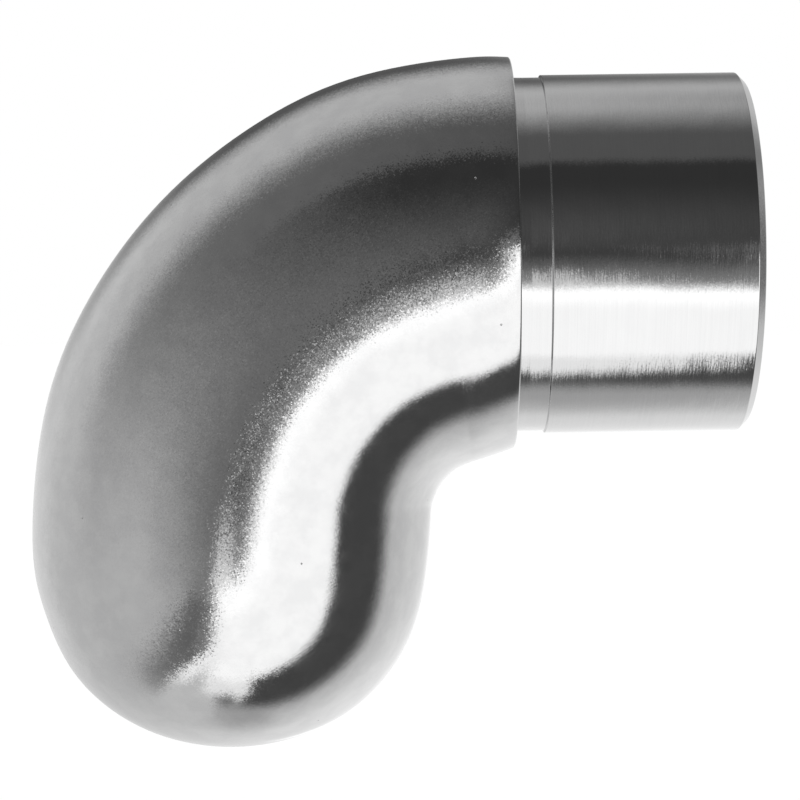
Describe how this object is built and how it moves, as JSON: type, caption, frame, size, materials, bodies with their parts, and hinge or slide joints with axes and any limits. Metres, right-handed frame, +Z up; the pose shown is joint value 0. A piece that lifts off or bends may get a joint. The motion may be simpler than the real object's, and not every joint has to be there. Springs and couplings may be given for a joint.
{
  "type": "handrail end return",
  "caption": "Domed ninety-degree return that closes the open end of a round stainless handrail tube, with a turned push-in spigot.",
  "frame": {"origin": "centre of the shoulder plane, where the rail tube's end face and axis meet", "axes": "+X along the spigot into the rail tube, +Z up, the bend turns down in the XZ plane, +Y away from the viewer of the picture"},
  "size_m": [0.0766, 0.0424, 0.0737],
  "materials": {
    "satin_stainless": "satin-polished cast stainless steel, turned on the spigot"
  },
  "bodies": {
    "root": {"end_return": "satin_stainless"}
  },
  "joints": []
}
